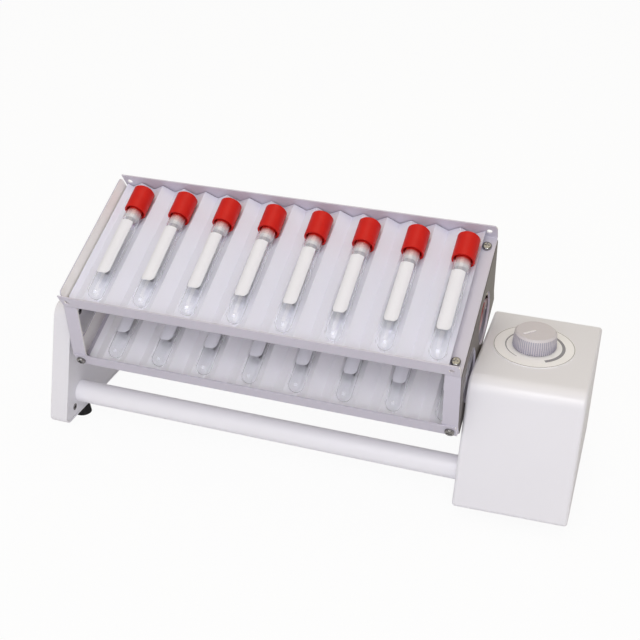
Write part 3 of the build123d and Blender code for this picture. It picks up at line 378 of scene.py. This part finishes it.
def along_tube(row, x, y, z):
    """A point in the axes of a row's nearest tube: across it, up from its axis, and along from its tip."""
    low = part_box(f"{row}_tube_1")[0]
    across = (x - (low.x + tube_radius - pitch / 2)).rest(pitch) - pitch / 2
    back, rise = y - (low.y + tube_radius), z - (low.z + tube_radius)
    return (across, rise * cos(tube_tilt) - back * sin(tube_tilt),
            back * cos(tube_tilt) + rise * sin(tube_tilt) + tube_radius)


label_paper = Finish("label_paper", Roughness=0.72)
at = label_paper.place()
fibre = label_paper.noise(at, scale=900.0, detail=3.0, rough=0.6)
label_paper.put("Base Color", label_paper.blend(fibre, rgb(237, 237, 244), rgb(231, 231, 238)))
label_paper.bump(fibre, strength=0.15, distance=0.0001)
# The paper is cut back to the side that shows, with its lower corners rounded, and lets most shadow rays by.
label_start, label_half, corner_depth = 0.0205, radians(50.0), 0.0045
paper_let_through = 0.85
x, y, z = label_paper.axes(at)
kept = 0.0
for row in ("upper", "lower"):
    across, rise, along = along_tube(row, x, y, z)
    side = across.angle_from(rise).size() / label_half
    near = rise.size().below(tube_radius * 1.5)
    kept = near * side.below(1.0) * (along - side.power(4.0) * corner_depth).above(label_start) + kept
shadow_ray = label_paper.node("ShaderNodeLightPath", out=1)
label_paper.put("Alpha", kept * (1.0 - shadow_ray * paper_let_through))
paint(label_paper, "tube_labels")

skirt_end, neck_length = 0.0841, 0.006          # of a stopper; the first is from its tube's tip


def stopper_finish(row):
    """Moulded red; below the skirt, where the red plug shows in the glass, it fades to a pale grey painted
    sheen.
    """
    f = Finish(f"{row}_stopper_red", Specular_IOR_Level=0.25)
    at = f.place()
    x, y, z = f.axes(at)
    mottle = f.noise(at, scale=160.0)
    under_skirt = skirt_end - along_tube(row, x, y, z)[2]
    red = f.blend(mottle, rgb(210, 27, 17), rgb(197, 21, 13))
    # Below the skirt the red plug is painted pale grey: a painted sheen of the glass over it.
    plug_glass_sheen = f.blend((under_skirt / neck_length).least(1.0), rgb(190, 62, 56), rgb(204, 200, 204))
    f.put("Base Color", f.blend(under_skirt.above(0.0), red, plug_glass_sheen))
    f.put("Roughness", mottle * 0.12 + 0.36)
    f.bump(f.noise(at, scale=1500.0, detail=1.0), strength=0.07, distance=0.0002)
    return f


for row in ("upper", "lower"):
    paint(stopper_finish(row), f"{row}_stoppers")


# ---- housings and tie rod -------------------------------------------------------------------------------
# The bracket is a painted casting and the drive box a smooth hood, both off-white with a fine satin grain.  The
# tie rod is a painted tube, a shade whiter.
housing = coated_sheet("housing_off_white", rgb(235, 234, 240), rgb(231, 230, 236), grain=1900.0, rough=0.4)
paint(housing, "left_bracket_shell", "left_bracket_cover", "control_box_shell")
paint(coated_sheet("rod_white", rgb(244, 243, 249), rgb(240, 239, 245), grain=1900.0, rough=0.4), "tie_rod")


# ---- speed knob and dial --------------------------------------------------------------------------------
# A moulded grey knob with a ribbed skirt over a printed disc.  The disc has a thin outline and a crescent that
# swells with speed.
knob_grey = Finish("knob_grey", Roughness=0.5)
at = knob_grey.place()
grain = knob_grey.noise(at, scale=1200.0)
knob_low, knob_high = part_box("speed_knob")
knob_middle = (knob_low + knob_high) / 2
rib_count, pointer_rise = 60, 0.0005
x, y, z = knob_grey.axes(at)
round_knob = (y - knob_middle.y).angle_from(x - knob_middle.x)
upright = knob_grey.axes(knob_grey.facing())[2].size().below(0.4)
painted_rib_shade = (round_knob * rib_count).cosine().below(-0.1) * upright        # painted shade in the space between two ribs
raised = z.above(knob_high.z - pointer_rise * 0.4)
tone = knob_grey.blend(grain, rgb(216, 211, 216), rgb(208, 203, 208))
tone = knob_grey.blend(painted_rib_shade, tone, rgb(168, 165, 180))
knob_grey.put("Base Color", knob_grey.blend(raised, tone, rgb(242, 239, 244)))
knob_grey.bump(grain, strength=0.1, distance=0.0002)
paint(knob_grey, "speed_knob")

dial_low, dial_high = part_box("dial_plate")
dial_middle = (dial_low + dial_high) / 2
dial_radius = (dial_high.x - dial_low.x) / 2
dial = Finish("dial_print", Roughness=0.4)
x, y, z = dial.axes(dial.place())
across, along = x - dial_middle.x, y - dial_middle.y
reach = (across * across + along * along).root()
ring_inset, ring_half_width = 0.0007, 0.00035
ring = (reach - (dial_radius - ring_inset)).size().below(ring_half_width)
# The crescent's outer edge moves away from its round inner edge, clockwise from its thin end.
thin_end, sweep = radians(-119.0), radians(302.0)
share = (thin_end - along.angle_from(across)).rest(tau) / sweep
inner_edge, outer_thin, outer_thick = 0.0203, 0.0208, 0.0232
outer = share * (outer_thick - outer_thin) + outer_thin
crescent = reach.above(inner_edge) * reach.below(outer) * share.below(1.0)
inked = ring.most(crescent)
shade = dial.blend(ring, rgb(150, 149, 155), rgb(182, 180, 182))
dial.put("Base Color", dial.blend(inked, rgb(248, 247, 249), shade))
paint(dial, "dial_plate")


# ---- fixings, feet and fittings -------------------------------------------------------------------------
# Bright plated screws and turned shafts, black rubber feet, and the black switch and inlet on the back.
def darker(tone, share):
    """A share of a colour's light."""
    return (*(c * share for c in tone[:3]), 1.0)


def plain_metal(name, tone, rough, streak):
    """Bare or plated metal, with fine streaks along Y in its tone and gloss."""
    f = Finish(name, Metallic=1.0)
    worn = f.noise(f.place(scale=(1.0, 6.0, 1.0)), scale=streak, detail=3.0, rough=0.6)
    f.put("Base Color", f.blend(worn, tone, darker(tone, 0.82)))
    f.put("Roughness", worn * 0.15 + rough)
    return f


def moulding(name, tone, rough):
    """Moulded plastic or rubber, with a speckle in its tone, gloss and surface."""
    f = Finish(name)
    speck = f.noise(f.place(), scale=1400.0)
    f.put("Base Color", f.blend(speck, tone, darker(tone, 0.86)))
    f.put("Roughness", speck * 0.12 + rough)
    f.bump(speck, strength=0.1, distance=0.0002)
    return f


bright = plain_metal("bright_plate", rgb(158, 156, 154), 0.12, 400.0)
paint(bright, "tray_screws", "tray_nuts", "hub_screws", "base_plate_screws", "chassis_screws",
      "bracket_cover_screws", "tie_rod_screws", "left_shaft", "right_shaft", "motor_shaft",
      "potentiometer_nut", "potentiometer_shaft")
paint(plain_metal("chassis_steel", rgb(176, 176, 180), 0.32, 120.0),
      "drive_bracket", "base_plate", "gear_motor")
paint(plain_metal("bush_bronze", rgb(186, 150, 96), 0.35, 300.0), "left_bush", "drive_bushes")
paint(moulding("foot_rubber", rgb(22, 21, 22), 0.6), "rubber_feet")
paint(moulding("black_plastic", rgb(26, 26, 28), 0.35), "power_inlet", "power_switch", "switch_rocker",
      "speed_potentiometer")
paint(moulding("gear_acetal", rgb(232, 226, 208), 0.4), "drive_sector", "drive_pinion")
paint(moulding("nylon_white", rgb(226, 224, 216), 0.45), "board_standoffs", "tie_rod_plugs")
paint(moulding("board_green", rgb(34, 96, 58), 0.4), "circuit_board")


# ---- smooth shading -------------------------------------------------------------------------------------
# Every curved skin is shaded smooth up to its real edges.
weld_reach = 0.000002
sharp_from = radians(28.0)
for name, o in nodes.items():
    weld = o.modifiers.new("join_facets", "WELD")
    weld.merge_threshold = weld_reach
    split = o.modifiers.new("keep_edges", "EDGE_SPLIT")
    split.split_angle = sharp_from
    for polygon in o.data.polygons:
        polygon.use_smooth = True
